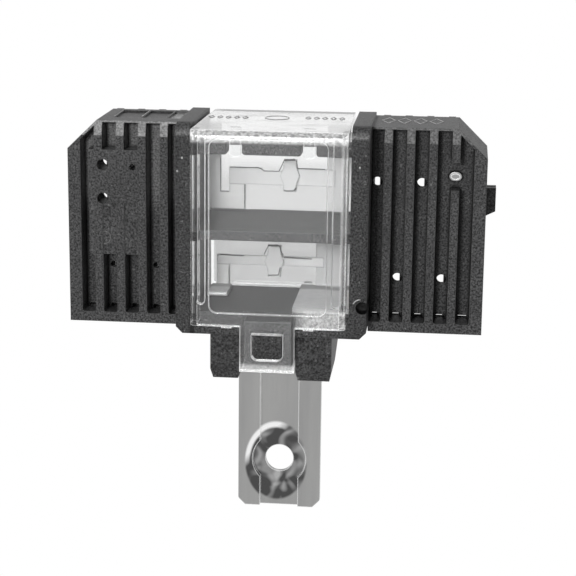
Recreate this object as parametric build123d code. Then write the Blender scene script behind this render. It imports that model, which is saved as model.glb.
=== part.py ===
# Multi fuse block: a ribbed black moulding with a clear snap cover over two fusible links.
# Millimetres. X runs to the right, Y runs to the back, Z runs up, as the block hangs in use.
# The origin is the centre of the bolt hole, in the middle of the tab's sheet.
import os
from build123d import *

# Bolt tab of the main busbar
sheet = 1.0                 # thickness of every busbar
tab_width = 16.0
hem_width = 4.3             # the tab's long edges are folded over by this much
tab_hole_d = 5.4            # clears an M5 stud
washer_seat_d = 10.4        # round cut in both hems, so that a washer sits on the sheet
hole_to_tab_end = 9.6
tab_corner = 1.4
hem_edge_round = 0.45

# Housing heights
body_bottom = 29.5          # above the bolt hole
floor_thick = 4.3
lower_bay = 13.25           # clear height of the lower link's bay
shelf_thick = 1.75
upper_bay = 13.75           # clear height from the shelf to the top crossbar
crossbar_height = 2.35
upright_rise = 3.0          # uprights above the top crossbar
wing_top_drop = 0.7         # wing top below the uprights' top
wing_bottom_rise = 0.2

# Housing widths and depths, counted from the busbar plane
body_half = 17.3
upright_thick = 3.2
body_front = -18.7
body_rear = 2.0
crossbar_depth = 2.6
notch_bridge = 0.8          # thickness of the strip that closes each notch's upper back
upright_round = 2.6
foot_chamfer = 1.2
upright_hole_d = 2.4
upright_hole_rise = 5.8

# Snap cover
cover_clearance = 0.2
cover_wall = 1.4
cover_front = -24.4
cover_lip_wall = 1.2
cover_edge_round = 1.1
cover_draft = 0.6           # each side of the cover is this much narrower at the back
cover_top_drop = 0.4        # cover top below the uprights' top
cover_overhang = 1.3        # the cover's front hangs below the floor's upper face
rear_wall_gap = 0.2
rear_wall_rise = 0.6
panel_side_margin = 3.45
panel_bottom_margin = 2.4
panel_top_margin = 1.5
panel_recess = 0.45
panel_corner = 1.5
guide_rib_width = 1.4
guide_rib_depth = 1.2
guide_rib_margin = 4.4
hook_width = 2.0
hook_gap = 0.3              # on each side, in the notch
hook_x = 6.6
hook_thick = 1.2
hook_overrun = 0.5          # below the crossbar
gate_x = 7.3
gate_width = 1.8
gate_height = 0.35
gate_margin = 0.35          # gate marks lie inside the front wall by this much

# Latch
tongue_width = 9.8
tongue_length = 8.2
window_width = 5.6
window_height = 4.8
window_bar = 2.1            # bar below the window
window_corner = 1.1
latch_clearance = 0.3
catch_inset = 0.3           # catch face behind the tongue's front face
catch_land = 1.5            # flat face under the catch's ramp
pad_width = 8.4
core_setback = 1.8          # the block between the legs, behind the uprights' front

# Legs beside the latch
leg_outer = 11.1
left_leg_width = 5.4
right_leg_width = 6.6
leg_setback = 0.9
leg_drop = 8.7
leg_toe_rise = 1.9
leg_toe_back = 1.0
leg_toe_side = 0.4
leg_sole = 2.0              # flat under the foot
leg_rear_drop = 4.6

# Wings
wing_front = -13.3
channel_depth = 4.3
web_thick = 1.7
channel_corner = 0.5
first_channel = 2.25        # width of the channel beside the upright
rib_pitch = 4.03
rib_count = 4
rib_width = 1.5
wing_edge = 2.33            # outer wall beside the last channel
wing_rim = 1.8              # bottom rim
wing_lintel = 0.4           # thin top wall above the channels
slot_height = 0.75          # opening at the foot of each channel
bevel_height = 2.7
bevel_depth = 0.8
wing_corner_x = 5.3
wing_corner_z = 5.2
hood_rear = 2.7
hood_thick = 1.8
rear_rib_inset = 2.0        # first rear rib, from the body's side
rear_rib_width = 1.3
rear_rib_proud = 1.0
rear_rib_tip = 0.25

# Moulding-pin holes through the wings
pin_hole_d = 1.8
pin_hole_side = 1.25        # from the channel's outer side
upper_pin_drop = 10.5
lower_pin_rise = 9.2
mark_d = 1.2                # small holes in the left wing's channels
mark_side = 1.05
mark_rise = 10.0

# Left pad, right pin and lug
left_pad_overrun = 1.06     # past the outermost rib
left_pad_drop = 5.3
left_pad_height = 19.4
left_pad_step = 0.25
pad_hole_d = 2.1
pad_hole_side = 2.6
pad_hole_drops = (2.8, 9.0)
pad_dot_side = 1.0
pad_dot_drop = 3.1
rib_gap_drop = 6.0          # gap in the right wing's outer rib, round the pin
rib_gap_height = 5.1
pin_drop = 3.1              # below the gap's top
pin_width = 2.5
pin_height = 1.9
pin_proud = 0.5
pin_round = 0.2
pin_rim = 0.45
pin_dish = 0.15
top_panel_depth = 0.4
top_panel_starts = (0.4, 3.4, 8.1, 13.2)    # from the body's side
top_panel_gap = 0.3
top_panel_setback = 0.7     # behind the channels' floor
lug_reach = 1.9
lug_top_drop = 12.6
lug_height = 4.4
lug_depth = 3.2
lug_groove = 0.7

# Busbars in the housing
base_height = 2.2           # strip of the main busbar inside the floor
base_cover = 1.0            # plastic under that strip
riser_cover = 0.9           # plastic outside the riser
riser_width = 2.8
upper_slot_margin = 2.5     # from the bay's side
upper_slot_width = 1.6
upper_post_width = 3.0
upper_foot = 3.2
upper_plate_width = 5.65    # seen in the bay
lower_post_margin = 1.8
lower_post_width = 2.4
lower_plate_width = 7.5
bay_gap = 0.5               # between a busbar's edge and the shelf or floor
foot_width = 10.3           # the lower output's foot, which lies on the floor
foot_setback = 1.2
bend_radius = 0.5
arm_drop = 3.0              # upper arms below the wing top
arm_width = 5.2
lower_arm_rise = 7.0
lower_arm_width = 4.4
finger_width = 2.2
finger_length = 10.0
lower_finger_length = 8.0
finger_tip = 0.5

# Links and their tin pills
link_thick = 0.5            # let into the front face of the busbars
link_lap = 1.5
upper_link_width = 3.15
upper_link_rise = 5.25
upper_link_step = 0.6
lower_link_width = 1.8
lower_link_rise = 4.7
pill_waist = 3.7
pill_end = 2.4
pill_height = 5.9
pill_shoulder = 0.55        # where the slug's taper starts, as a share of its half height
pill_cheek = 0.6            # tin in front of the link and behind it
upper_pill_x = 1.5
lower_pill_x = -1.3

# Heights that follow
floor_top = body_bottom + floor_thick
shelf_bottom = floor_top + lower_bay
shelf_top = shelf_bottom + shelf_thick
crossbar_bottom = shelf_top + upper_bay
crossbar_top = crossbar_bottom + crossbar_height
body_top = crossbar_top + upright_rise
wing_top = body_top - wing_top_drop
wing_bottom = body_bottom + wing_bottom_rise
cover_top = body_top - cover_top_drop
cover_bottom = floor_top - cover_overhang
tongue_bottom = cover_bottom - tongue_length
window_bottom = tongue_bottom + window_bar
window_top = window_bottom + window_height
channel_bottom = wing_bottom + wing_rim
channel_top = wing_top - wing_lintel
arm_top = wing_top - arm_drop
arm_bottom = arm_top - arm_width
lower_arm_bottom = floor_top + lower_arm_rise
upper_link_bottom = shelf_top + upper_link_rise
lower_link_bottom = floor_top + lower_link_rise

# Widths and depths that follow
bay_half = body_half - upright_thick
cover_half = bay_half - cover_clearance
cover_rear = body_rear + rear_wall_gap + cover_wall
cover_inner = cover_front + cover_wall
panel_half = cover_half - panel_side_margin
pad_face = cover_inner + latch_clearance
channel_floor = wing_front + channel_depth
web_back = channel_floor + web_thick
bus_front = -sheet / 2
bus_back = sheet / 2
hem_front = bus_front - sheet
riser_outer = body_half - riser_cover
riser_edge = riser_outer - riser_width
upper_slot_left = bay_half - upper_slot_margin
upper_slot_right = upper_slot_left - upper_slot_width
upper_post_right = upper_slot_right - upper_post_width
upper_plate_left = bay_half - upper_plate_width
lower_post_left = bay_half - lower_post_margin
lower_post_right = lower_post_left - lower_post_width
lower_plate_left = bay_half - lower_plate_width
foot_left = bay_half - foot_width
foot_front = body_front + foot_setback
left_leg_inner = leg_outer - left_leg_width
right_leg_inner = leg_outer - right_leg_width
first_rib = body_half + first_channel + rib_width / 2
rib_positions = [first_rib + i * rib_pitch for i in range(rib_count)]
last_channel = first_rib + rib_count * rib_pitch - rib_width / 2
wing_half = last_channel + wing_edge
channel_lefts = [body_half] + [x + rib_width / 2 for x in rib_positions]
channel_rights = [x - rib_width / 2 for x in rib_positions] + [last_channel]
rear_ribs = [body_half + rear_rib_inset + i * rib_pitch for i in range(rib_count)]
finger_positions = [x + rib_pitch / 2 for x in rear_ribs]
left_pad_inner = channel_lefts[2]
left_pad_outer = channel_lefts[-1] + left_pad_overrun
top_panel_edges = [body_half + start for start in top_panel_starts]


def block(x0, x1, y0, y1, z0, z1):
    """A box between two corners."""
    return Pos((x0 + x1) / 2, (y0 + y1) / 2, (z0 + z1) / 2) * Box(x1 - x0, y1 - y0, z1 - z0)


def side_profile(points, x0, x1):
    """A closed outline of (y, z) points, run along X."""
    face = make_face(Polyline(*[(x0, y, z) for y, z in points], close=True))
    return extrude(face, x1 - x0, dir=(1, 0, 0))


def front_profile(points, y0, y1):
    """A closed outline of (x, z) points, run along Y."""
    face = make_face(Polyline(*[(x, y0, z) for x, z in points], close=True))
    return extrude(face, y1 - y0, dir=(0, 1, 0))


def top_profile(points, z0, z1):
    """A closed outline of (x, y) points, run along Z."""
    face = make_face(Polyline(*[(x, y, z0) for x, y in points], close=True))
    return extrude(face, z1 - z0, dir=(0, 0, 1))


def drill(x, z, diameter, y0, y1):
    """A round bar along Y, for a hole or a pin."""
    return Pos(x, (y0 + y1) / 2, z) * Rot(90, 0, 0) * Cylinder(diameter / 2, y1 - y0)


def upright():
    """The right side plate that flanks the cover, rounded at its top front."""
    plate = block(bay_half, body_half, body_front, body_rear, body_bottom, body_top)
    front_top = plate.edges().filter_by(Axis.X).group_by(Axis.Z)[-1].sort_by(Axis.Y)[0]
    plate = fillet(front_top, upright_round)
    outer_foot = plate.edges().filter_by(Axis.Y).group_by(Axis.Z)[0].sort_by(Axis.X)[-1]
    return chamfer(outer_foot, foot_chamfer)


def crossbar():
    """The top crossbar, with rounded ends beside the two notches that the cover's hooks stand in."""
    bar = block(-bay_half, bay_half, body_front, body_front + crossbar_depth, crossbar_bottom, crossbar_top)
    reach = hook_width / 2 + hook_gap
    back = body_front + crossbar_depth
    notches = [block(x - reach, x + reach, body_front, back, crossbar_bottom, crossbar_top)
               for x in (-hook_x, hook_x)]
    bar = bar - notches
    ends = [e for e in bar.edges().filter_by(Axis.Y) if abs(e.center().X) < hook_x + reach + 0.01]
    end = hook_x + 2 * reach
    strip = block(-end, end, back - notch_bridge, back, crossbar_top - notch_bridge, crossbar_top)
    return fillet(ends, crossbar_height / 4) + strip


def leg(inner):
    """A right-hand leg beside the latch, with a bevelled toe and a sloping foot."""
    front = body_front + leg_setback
    foot = body_bottom - leg_drop
    toe = foot + leg_toe_rise
    rear = hem_front - latch_clearance
    sole = front + leg_toe_back
    outline = [(front, body_bottom), (front, toe), (sole, foot), (sole + leg_sole, foot),
               (rear, body_bottom - leg_rear_drop), (rear, body_bottom)]
    tapered = [(inner, body_bottom), (inner, toe), (inner + leg_toe_side, foot),
               (leg_outer - leg_toe_side, foot), (leg_outer, toe), (leg_outer, body_bottom)]
    return side_profile(outline, inner, leg_outer) & front_profile(tapered, front, rear)


def latch_block():
    """The block between the legs, with the pad behind the tongue and the catch in its window."""
    foot = tongue_bottom + latch_clearance
    core_front = body_front + core_setback
    core = block(-left_leg_inner, right_leg_inner, core_front, hem_front - latch_clearance, foot,
                 floor_top - bay_gap)
    pad = block(-pad_width / 2, pad_width / 2, pad_face, core_front, foot, floor_top - bay_gap)
    top = window_top - latch_clearance
    land_bottom = window_bottom + latch_clearance
    catch_face = cover_front + catch_inset
    outline = [(pad_face, land_bottom), (catch_face, land_bottom), (catch_face, land_bottom + catch_land),
               (pad_face, top)]
    half = window_width / 2 - latch_clearance
    catch = side_profile(outline, -half, half)
    lower_corners = catch.edges().filter_by(Axis.Y).group_by(Axis.Z)[0]
    return core + pad + fillet(lower_corners, window_corner - latch_clearance)


def wing_outline(inset=0.0):
    """Front outline of the right wing, with its sloping outer corner."""
    side = wing_half - inset
    top = wing_top - inset
    return [(body_half, wing_bottom), (side, wing_bottom), (side, wing_top - wing_corner_z - inset / 2),
            (wing_half - wing_corner_x - inset / 2, top), (body_half, top)]


def wing():
    """The right wing: five channels in front, and a hood with four deep ribs at the back."""
    body = front_profile(wing_outline(), wing_front, hood_rear)
    core = front_profile(wing_outline(hood_thick), web_back, hood_rear)
    field = front_profile(wing_outline(wing_lintel), wing_front, channel_floor)
    cuts = [core]
    for left, right in zip(channel_lefts, channel_rights):
        channel = block(left, right, wing_front, channel_floor, channel_bottom, channel_top)
        channel = fillet(channel.edges().filter_by(Axis.Y).group_by(Axis.Z)[0], channel_corner)
        cuts.append(channel & field if right == last_channel else channel)
        cuts.append(block(left + channel_corner, right - channel_corner, channel_floor, web_back,
                          channel_bottom, channel_bottom + slot_height))
    cuts.append(side_profile([(wing_front, wing_top), (wing_front, wing_top - bevel_height),
                              (wing_front + bevel_depth, wing_top)], body_half, wing_half))
    return body - cuts + [rear_rib(x) for x in rear_ribs]


def rear_rib(x):
    """A deep rib under the hood, a little proud of the hood's rear edge."""
    tip = hood_rear + rear_rib_proud
    outline = [(web_back, wing_bottom), (hood_rear, wing_bottom), (tip, wing_bottom + rear_rib_proud),
               (tip, wing_top - rear_rib_tip), (tip - rear_rib_tip, wing_top), (web_back, wing_top)]
    return side_profile(outline, x - rear_rib_width / 2, x + rear_rib_width / 2)


def lug():
    """The guide lug on the right wing's outer edge, grooved on top and sloping underneath."""
    top = wing_top - lug_top_drop
    outer = wing_half + lug_reach
    front = hood_rear - lug_depth
    outline = [(wing_half, top), (outer, top), (outer, top - lug_height),
               (wing_half, top - lug_height - lug_reach / 2)]
    groove_front = front + lug_depth / 3
    groove = block(wing_half, outer, groove_front, groove_front + lug_groove, top - lug_groove, top)
    return front_profile(outline, front, hood_rear) - groove


def left_pad():
    """The tall flush pad that interrupts the left wing's outer ribs, set back a little in its lower half."""
    top = wing_top - left_pad_drop
    middle = top - left_pad_height / 2
    upper = block(-left_pad_outer, -left_pad_inner, wing_front, channel_floor, middle, top)
    return upper + block(-left_pad_outer, -left_pad_inner, wing_front + left_pad_step, channel_floor,
                         top - left_pad_height, middle)


def channel_holes(diameter, channels, side, z):
    """Round holes through the web at the foot of the given channels of the right wing."""
    return [drill(channel_rights[i] - side, z, diameter, channel_floor, web_back) for i in channels]


def left_pad_holes():
    """The two round holes and the small dot in the left pad."""
    top = wing_top - left_pad_drop
    x = -left_pad_outer + pad_hole_side
    holes = [drill(x, top - drop, pad_hole_d, wing_front, web_back) for drop in pad_hole_drops]
    return holes + [drill(-left_pad_inner - pad_dot_side, top - pad_dot_drop, mark_d, wing_front, web_back)]


def top_panels():
    """Three shallow panels in the left wing's top, with narrow bars between them."""
    front = channel_floor + top_panel_setback
    rear = hood_rear - hood_thick
    return [block(-outer + top_panel_gap, -inner, front, rear, wing_top - top_panel_depth, wing_top)
            for inner, outer in zip(top_panel_edges, top_panel_edges[1:])]


def housing_cuts():
    """Moulding-pin holes, the right wing's rib gap, the upright's hole and the top panels."""
    upper = wing_top - upper_pin_drop
    lower = wing_bottom + lower_pin_rise
    cuts = channel_holes(pin_hole_d, (0, 2), pin_hole_side, upper)
    cuts += channel_holes(pin_hole_d, (1, 3), pin_hole_side, lower)
    marks = channel_holes(mark_d, (1, 3), mark_side, wing_bottom + mark_rise)
    cuts += [mirror(mark, about=Plane.YZ) for mark in marks]
    cuts += left_pad_holes() + top_panels()
    cuts.append(drill(body_half - upright_thick / 4, body_bottom + upright_hole_rise, upright_hole_d,
                      body_front, body_front + crossbar_depth))
    left = rib_positions[-1] - rib_width / 2
    gap_top = wing_top - rib_gap_drop
    cuts.append(block(left, left + rib_width, wing_front, channel_floor, gap_top - rib_gap_height, gap_top))
    return cuts


def housing(metal):
    """The black moulding, moulded round the busbars and the wing pin."""
    right = upright() + wing()
    middle = [block(-bay_half, bay_half, body_front, body_rear, body_bottom, floor_top),
              block(-bay_half, bay_half, body_front, body_rear, shelf_bottom, shelf_top),
              crossbar(), latch_block(), lug()]
    legs = [leg(right_leg_inner), mirror(leg(left_leg_inner), about=Plane.YZ)]
    body = right + mirror(right, about=Plane.YZ) + middle + legs + left_pad()
    return body - housing_cuts() - metal


def clear_cover():
    """One clear moulding: front, top and rear wall, short side lips, latch tongue and two hooks."""
    rear_half = cover_half - cover_draft
    outline = [(-cover_half, cover_front), (cover_half, cover_front), (rear_half, cover_rear),
               (-rear_half, cover_rear)]
    shell = top_profile(outline, cover_bottom, cover_top)
    front_edges = shell.edges().group_by(Axis.Y)[0]
    top_edge = front_edges.filter_by(Axis.X).sort_by(Axis.Z)[-1]
    shell = fillet([top_edge] + list(front_edges.filter_by(Axis.Z)), cover_edge_round)
    lip = cover_half - cover_lip_wall
    under_top = cover_top - cover_wall
    rear_inner = body_rear + rear_wall_gap
    cuts = [block(-lip, lip, cover_inner, body_front, cover_bottom, under_top),
            block(-cover_half, cover_half, body_front, rear_inner, cover_bottom, under_top),
            block(-cover_half, cover_half, rear_inner, cover_rear, cover_bottom, floor_top + rear_wall_rise),
            front_panel()]
    adds = [guide_rib(-1), guide_rib(1), hook(-1), hook(1)]
    for x in (-gate_x, gate_x):
        adds.append(block(x - gate_width / 2, x + gate_width / 2, cover_front + gate_margin,
                          cover_inner - gate_margin, cover_bottom - gate_height, cover_bottom))
    return shell - cuts + adds + tongue()


def front_panel():
    """The shallow rounded panel that is sunk into the cover's front face."""
    panel = block(-panel_half, panel_half, cover_front, cover_front + panel_recess,
                  cover_bottom + panel_bottom_margin, cover_top - panel_top_margin)
    return fillet(panel.edges().filter_by(Axis.Y), panel_corner)


def guide_rib(side):
    """An upright rib inside the cover's front wall, round at its lower end."""
    x = side * (cover_half - cover_lip_wall - guide_rib_width / 2)
    z0 = cover_bottom + guide_rib_margin
    half = guide_rib_width / 2
    back = cover_inner + guide_rib_depth
    rib = block(x - half, x + half, cover_inner, back, z0, cover_top - cover_wall)
    return rib + drill(x, z0, guide_rib_width, cover_inner, back)


def hook(side):
    """A tab that hangs from the cover's top wall through a notch of the crossbar."""
    x = side * hook_x
    front = body_front + (crossbar_depth - notch_bridge - hook_thick) / 2
    half = hook_width / 2
    tip = crossbar_bottom - hook_overrun
    tab = block(x - half, x + half, front, front + hook_thick, tip, cover_top - cover_wall)
    foot = tab.edges().filter_by(Axis.Y).group_by(Axis.Z)[0]
    return fillet(foot, hook_width / 3)


def tongue():
    """The latch tongue below the cover, with the rounded window that snaps over the catch."""
    half = tongue_width / 2
    plate = block(-half, half, cover_front, cover_inner, tongue_bottom, cover_bottom)
    window = block(-window_width / 2, window_width / 2, cover_front, cover_inner, window_bottom, window_top)
    lower_corners = window.edges().filter_by(Axis.Y).group_by(Axis.Z)[0]
    return plate - fillet(lower_corners, window_corner)


def bus(x0, x1, z0, z1):
    """A length of flat busbar."""
    return block(x0, x1, bus_front, bus_back, z0, z1)


def fingers(positions, z_root, length):
    """Blades that hang from an arm into the rear channels, with chamfered tips."""
    half = finger_width / 2
    tips = []
    for x in positions:
        outline = [(x - half, z_root), (x + half, z_root), (x + half, z_root - length + finger_tip),
                   (x + half - finger_tip, z_root - length), (x - half + finger_tip, z_root - length),
                   (x - half, z_root - length + finger_tip)]
        tips.append(front_profile(outline, bus_front, bus_back))
    return tips


def bolt_tab():
    """The bolt tab: a sheet with both long edges folded to the front, and a washer seat round the hole."""
    half = tab_width / 2
    end = -hole_to_tab_end
    top = body_bottom + base_cover
    back = bus(-half, half, end, top)
    hem = block(-half, -half + hem_width, hem_front, bus_front, end, top)
    outer_edge = hem.edges().filter_by(Axis.Z).group_by(Axis.X)[0].sort_by(Axis.Y)[0]
    hem = fillet(outer_edge, hem_edge_round)
    tab = back + hem + mirror(hem, about=Plane.YZ)
    corners = [front_profile([(s * half, end), (s * (half - tab_corner), end), (s * half, end + tab_corner)],
                             hem_front, bus_back) for s in (-1, 1)]
    seat = drill(0, 0, washer_seat_d, hem_front, bus_front)
    return tab - corners - drill(0, 0, tab_hole_d, bus_front, bus_back) - seat


def main_busbar():
    """Bolt tab, base in the floor, riser at the left, a post for each link, and the left wing's arm."""
    base = body_bottom + base_cover
    foot = shelf_top + bay_gap
    arm_end = rear_ribs[-1]
    pieces = [bus(-riser_outer, tab_width / 2, base, base + base_height),
              bus(-riser_outer, -riser_edge, base, arm_top),
              bus(-lower_post_left, -lower_post_right, base, lower_link_bottom + lower_link_width),
              bus(-riser_outer, -upper_slot_left, foot, arm_top),
              bus(-riser_outer, -upper_post_right, foot, foot + upper_foot),
              bus(-upper_slot_right, -upper_post_right, foot, upper_link_bottom + upper_link_width),
              bus(-arm_end, -riser_outer, arm_bottom, arm_top)]
    blades = fingers([-finger_positions[0], -finger_positions[2]], arm_bottom, finger_length)
    return bolt_tab() + pieces + blades


def upper_output_plate():
    """The upper link's output: a broad plate in the bay and an arm with two blades in the right wing."""
    plate = bus(upper_plate_left, body_half, shelf_top + bay_gap, arm_top)
    arm = bus(body_half, rear_ribs[-1], arm_bottom, arm_top)
    return plate + arm + fingers([finger_positions[0], finger_positions[2]], arm_bottom, finger_length)


def lower_output_plate():
    """The lower link's output: a plate, its foot bent forward over the floor, and a lower arm with blades."""
    foot_top = floor_top + sheet
    bent = bus(lower_plate_left, bay_half, floor_top, shelf_bottom - bay_gap)
    bent += block(lower_plate_left, bay_half, foot_front, bus_front, floor_top, foot_top)
    along = bent.edges().filter_by(Axis.X)
    bent = fillet(along.sort_by_distance((lower_plate_left, bus_front, foot_top))[0], bend_radius)
    foot_end = block(foot_left, lower_plate_left, foot_front, bus_back, floor_top, foot_top)
    through = bus(bay_half, body_half, lower_arm_bottom, shelf_bottom - bay_gap)
    arm = bus(body_half, wing_half - hood_thick / 2, lower_arm_bottom, lower_arm_bottom + lower_arm_width)
    blades = fingers([finger_positions[1], finger_positions[3]], lower_arm_bottom, lower_finger_length)
    return bent + foot_end + through + arm + blades


def upper_fuse_link():
    """The upper link: a thin strip, narrower left of its pill, let into the post and the plate."""
    bottom = upper_link_bottom
    top = bottom + upper_link_width
    low = top - upper_link_step
    waist = upper_pill_x - pill_waist / 2
    left = -upper_post_right + 2 * link_lap
    right = upper_plate_left + link_lap
    outline = [(-upper_slot_right, bottom), (right, bottom), (right, top), (upper_pill_x + pill_end / 2, top),
               (waist, low), (left + upper_link_step, low), (left, top), (-upper_slot_right, top)]
    return front_profile(outline, bus_front, bus_front + link_thick)


def lower_fuse_link():
    """The lower link: a thin straight strip, let into the post and the plate."""
    return block(-lower_post_left, lower_plate_left + link_lap, bus_front, bus_front + link_thick,
                 lower_link_bottom, lower_link_bottom + lower_link_width)


def tin_pill(x, z):
    """A six-sided tin slug, pressed round its link."""
    waist, end, half = pill_waist / 2, pill_end / 2, pill_height / 2
    shoulder = half * pill_shoulder
    outline = [(x - waist, z), (x - end, z - shoulder), (x - end, z - half), (x + end, z - half),
               (x + end, z - shoulder), (x + waist, z), (x + end, z + shoulder), (x + end, z + half),
               (x - end, z + half), (x - end, z + shoulder)]
    return front_profile(outline, bus_front - pill_cheek, bus_front + link_thick + pill_cheek)


def wing_pin():
    """The oval metal pin in the right wing's rib gap, with a shallow dish in its front face."""
    z = wing_top - rib_gap_drop - pin_drop
    place = Pos(rib_positions[-1], channel_floor - pin_proud, z) * Rot(-90, 0, 0)
    pin = extrude(place * Ellipse(pin_width / 2, pin_height / 2), web_back - channel_floor + pin_proud)
    pin = fillet(pin.edges().group_by(Axis.Y)[0], pin_round)
    return pin - extrude(place * Ellipse(pin_width / 2 - pin_rim, pin_height / 2 - pin_rim), pin_dish)


def build():
    """Every piece by its node name."""
    upper_link = upper_fuse_link()
    lower_link = lower_fuse_link()
    busbars = {"main_busbar": main_busbar() - [upper_link, lower_link],
               "upper_output_plate": upper_output_plate() - upper_link,
               "lower_output_plate": lower_output_plate() - lower_link}
    pin = wing_pin()
    upper_z = upper_link_bottom + upper_link_width / 2 + upper_link_step / 2
    lower_z = lower_link_bottom + lower_link_width / 2
    return {"housing": housing(list(busbars.values()) + [pin]),
            "clear_cover": clear_cover(),
            **busbars,
            "upper_fuse_link": upper_link,
            "lower_fuse_link": lower_link,
            "upper_tin_pill": tin_pill(upper_pill_x, upper_z) - upper_link,
            "lower_tin_pill": tin_pill(lower_pill_x, lower_z) - lower_link,
            "wing_pin": pin}


if __name__ == "__main__":
    os.makedirs("parts", exist_ok=True)
    for name, solid in build().items():
        export_step(solid, f"parts/{name}.step")
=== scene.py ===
# %% [markdown]
# # A multi fuse block
#
# The block bolts to a battery stud by the tab below. A ribbed black moulding holds flat tin-plated
# busbars, and a clear cover shows the two fusible links inside. The solid shapes come from the imported CAD
# model, already in place and in metres, so this lesson only gives them their finishes, adds the small
# details and sets up a plain studio.
#
# The frame is loaded first, because everything else is placed by it.

# %% Load the frame
import bpy
import bmesh
import math
from mathutils import Matrix, Vector


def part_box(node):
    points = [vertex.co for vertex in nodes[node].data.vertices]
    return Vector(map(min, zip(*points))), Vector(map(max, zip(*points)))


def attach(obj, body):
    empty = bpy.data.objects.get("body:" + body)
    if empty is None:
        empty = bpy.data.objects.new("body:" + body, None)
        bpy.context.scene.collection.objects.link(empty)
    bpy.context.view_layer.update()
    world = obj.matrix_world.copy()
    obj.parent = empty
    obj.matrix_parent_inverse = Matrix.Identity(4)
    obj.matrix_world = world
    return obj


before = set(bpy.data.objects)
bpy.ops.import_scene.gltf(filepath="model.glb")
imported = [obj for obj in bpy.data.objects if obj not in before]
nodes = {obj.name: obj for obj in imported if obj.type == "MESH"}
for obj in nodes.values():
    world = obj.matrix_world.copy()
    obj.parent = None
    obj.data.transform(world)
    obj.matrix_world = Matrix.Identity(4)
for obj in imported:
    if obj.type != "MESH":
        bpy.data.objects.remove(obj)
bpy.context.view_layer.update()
MM = 0.001
print("nodes:", sorted(nodes))

# %% [markdown]
# ## The camera
#
# The photograph was taken a little from the right and from above, with a long lens: the uprights hardly
# converge. A camera can be aimed by tracking a target, but a written rotation also holds the slight roll
# of the picture. The three angles, the place and the lens were found by matching corners of the block.

# %% Camera
AZIMUTH, ELEVATION, ROLL = (math.radians(a) for a in (-5.762, 13.707, 0.649))
CAMERA_PLACE = (33.277, -317.431, 111.834)      # millimetres
FOCAL_PIXELS = 1720.73
IMAGE_PIXELS = 576
SENSOR_WIDTH = 36.0
NEAREST_SEEN = 10 * MM


def aim(azimuth, elevation, roll):
    """The rotation of a camera that looks along +Y at azimuth 0."""
    forward = Vector((math.sin(azimuth) * math.cos(elevation), math.cos(azimuth) * math.cos(elevation),
                      -math.sin(elevation)))
    right = Vector((math.cos(azimuth), -math.sin(azimuth), 0.0))
    up = right.cross(forward)
    rolled_right = right * math.cos(roll) + up * math.sin(roll)
    rolled_up = up * math.cos(roll) - right * math.sin(roll)
    return Matrix((rolled_right, rolled_up, -forward)).transposed()


camera_data = bpy.data.cameras.new("camera")
camera_data.sensor_width = SENSOR_WIDTH
camera_data.lens = FOCAL_PIXELS / IMAGE_PIXELS * SENSOR_WIDTH
camera_data.clip_start = NEAREST_SEEN
camera = bpy.data.objects.new("camera", camera_data)
bpy.context.collection.objects.link(camera)
camera.matrix_world = (Matrix.Translation(Vector(CAMERA_PLACE) * MM)
                       @ aim(AZIMUTH, ELEVATION, ROLL).to_4x4())
bpy.context.scene.camera = camera
print("lens", round(camera_data.lens, 2), "mm")

# %% [markdown]
# ## Helpers for nodes
#
# The world and every finish are trees of nodes. Written out one by one, each node takes three or four
# lines, and the idea is lost among them. Three small helpers keep a tree readable: one adds a node, one
# does a sum with two sockets or numbers, and one joins any number of masks with the same operation.

# %% Helpers for nodes
WHITE = (1.0, 1.0, 1.0, 1.0)


def add(tree, kind, **settings):
    """A node of that kind, with attributes set by name and inputs set by a dict."""
    node = tree.nodes.new(kind)
    for label, value in settings.pop("values", {}).items():
        node.inputs[label].default_value = value
    for label, value in settings.items():
        setattr(node, label, value)
    return node


def calculate(tree, operation, first, second, clamp=False):
    """A Math node that joins two sockets or numbers."""
    node = add(tree, "ShaderNodeMath", operation=operation, use_clamp=clamp)
    for index, value in enumerate((first, second)):
        if isinstance(value, (int, float)):
            node.inputs[index].default_value = value
        else:
            tree.links.new(value, node.inputs[index])
    return node.outputs[0]


def join(tree, operation, *masks):
    """Masks joined by one operation: MULTIPLY keeps what all share, MAXIMUM the strongest."""
    joined = masks[0]
    for mask in masks[1:]:
        joined = calculate(tree, operation, joined, mask)
    return joined


print("node helpers ready")

# %% [markdown]
# ## The studio
#
# The picture has a plain white ground. A white backdrop could be built, but it would throw its light on
# the block. So the world is white only for the rays that come from the camera, from glossy metal and
# through clear plastic: the ground looks white, is mirrored and is seen through. All other rays find a
# weak fill, which keeps the shaded sides dark.

# %% World
GROUND_STRENGTH = 1.0
FILL_STRENGTH = 0.12

scene = bpy.context.scene
scene.view_settings.view_transform = "Standard"
scene.world = bpy.data.worlds.new("studio")
scene.world.use_nodes = True
sky = scene.world.node_tree
sky.nodes.clear()
rays = add(sky, "ShaderNodeLightPath").outputs
seen = join(sky, "MAXIMUM", rays["Is Camera Ray"], rays["Is Glossy Ray"], rays["Is Transmission Ray"])
ground = add(sky, "ShaderNodeBackground", values={"Color": WHITE, "Strength": GROUND_STRENGTH})
fill = add(sky, "ShaderNodeBackground", values={"Color": WHITE, "Strength": FILL_STRENGTH})
choose = add(sky, "ShaderNodeMixShader")
sky.links.new(seen, choose.inputs["Fac"])
sky.links.new(fill.outputs[0], choose.inputs[1])
sky.links.new(ground.outputs[0], choose.inputs[2])
sky.links.new(choose.outputs[0], add(sky, "ShaderNodeOutputWorld").inputs["Surface"])
print("fill strength:", FILL_STRENGTH)

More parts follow.
